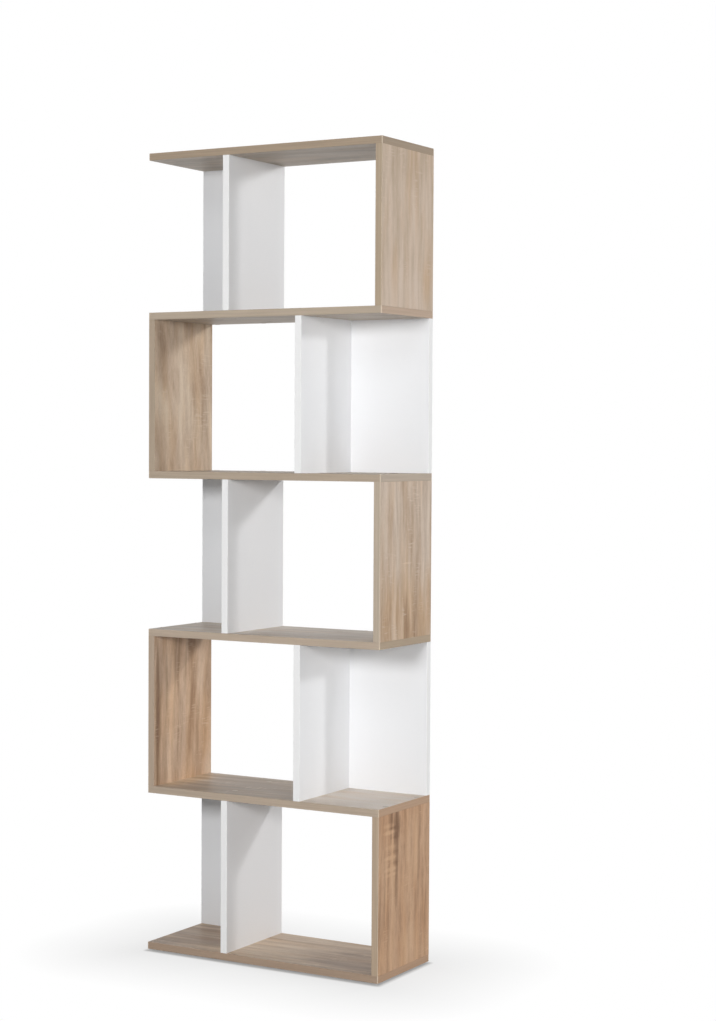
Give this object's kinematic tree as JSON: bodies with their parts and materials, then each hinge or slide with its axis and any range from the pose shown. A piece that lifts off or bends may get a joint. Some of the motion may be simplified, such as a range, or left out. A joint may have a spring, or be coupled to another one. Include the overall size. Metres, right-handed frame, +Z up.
{
  "type": "zigzag bookshelf",
  "caption": "Tall narrow open bookshelf whose side panels change ends from tier to tier, with oak-decor boards, white dividers and white half backs.",
  "frame": {"origin": "on the floor below the middle of the unit", "axes": "+Z up, +X to the right seen from the front, +Y to the back, towards the wall"},
  "size_m": [0.6, 0.23, 1.83],
  "materials": {
    "oak_decor": "satin oak-decor melamine on particleboard",
    "oak_edge_band": "satin oak-decor edge band",
    "white_melamine": "satin white melamine on particleboard",
    "white_edge_band": "satin white edge band",
    "oak_cap_foil": "oak-decor self-adhesive foil",
    "beech": "raw turned beech",
    "zinc_plated_steel": "bright zinc plating",
    "glide_plastic": "moulded brown polyethylene"
  },
  "bodies": {
    "root": {"bottom_board": "oak_decor", "bottom_board_edging": "oak_edge_band", "bottom_board_screws": "zinc_plated_steel", "shelf_1": "oak_decor", "shelf_1_edging": "oak_edge_band", "shelf_1_screws": "zinc_plated_steel", "shelf_1_screw_caps": "oak_cap_foil", "shelf_2": "oak_decor", "shelf_2_edging": "oak_edge_band", "shelf_2_screws": "zinc_plated_steel", "shelf_2_screw_caps": "oak_cap_foil", "shelf_3": "oak_decor", "shelf_3_edging": "oak_edge_band", "shelf_3_screws": "zinc_plated_steel", "shelf_3_screw_caps": "oak_cap_foil", "shelf_4": "oak_decor", "shelf_4_edging": "oak_edge_band", "shelf_4_screws": "zinc_plated_steel", "shelf_4_screw_caps": "oak_cap_foil", "top_board": "oak_decor", "top_board_edging": "oak_edge_band", "top_board_screws": "zinc_plated_steel", "top_board_screw_caps": "oak_cap_foil", "side_panel_1": "oak_decor", "side_panel_1_edging": "oak_edge_band", "divider_1": "white_melamine", "divider_1_edging": "white_edge_band", "back_panel_1": "white_melamine", "back_panel_1_edging": "white_edge_band", "side_panel_2": "oak_decor", "side_panel_2_edging": "oak_edge_band", "divider_2": "white_melamine", "divider_2_edging": "white_edge_band", "back_panel_2": "white_melamine", "back_panel_2_edging": "white_edge_band", "side_panel_3": "oak_decor", "side_panel_3_edging": "oak_edge_band", "divider_3": "white_melamine", "divider_3_edging": "white_edge_band", "back_panel_3": "white_melamine", "back_panel_3_edging": "white_edge_band", "side_panel_4": "oak_decor", "side_panel_4_edging": "oak_edge_band", "divider_4": "white_melamine", "divider_4_edging": "white_edge_band", "back_panel_4": "white_melamine", "back_panel_4_edging": "white_edge_band", "side_panel_5": "oak_decor", "side_panel_5_edging": "oak_edge_band", "divider_5": "white_melamine", "divider_5_edging": "white_edge_band", "back_panel_5": "white_melamine", "back_panel_5_edging": "white_edge_band", "end_dowels": "beech", "back_panel_dowels": "beech", "floor_glides": "glide_plastic", "glide_nails": "zinc_plated_steel", "wall_brackets": "zinc_plated_steel", "bracket_screws": "zinc_plated_steel"}
  },
  "joints": []
}
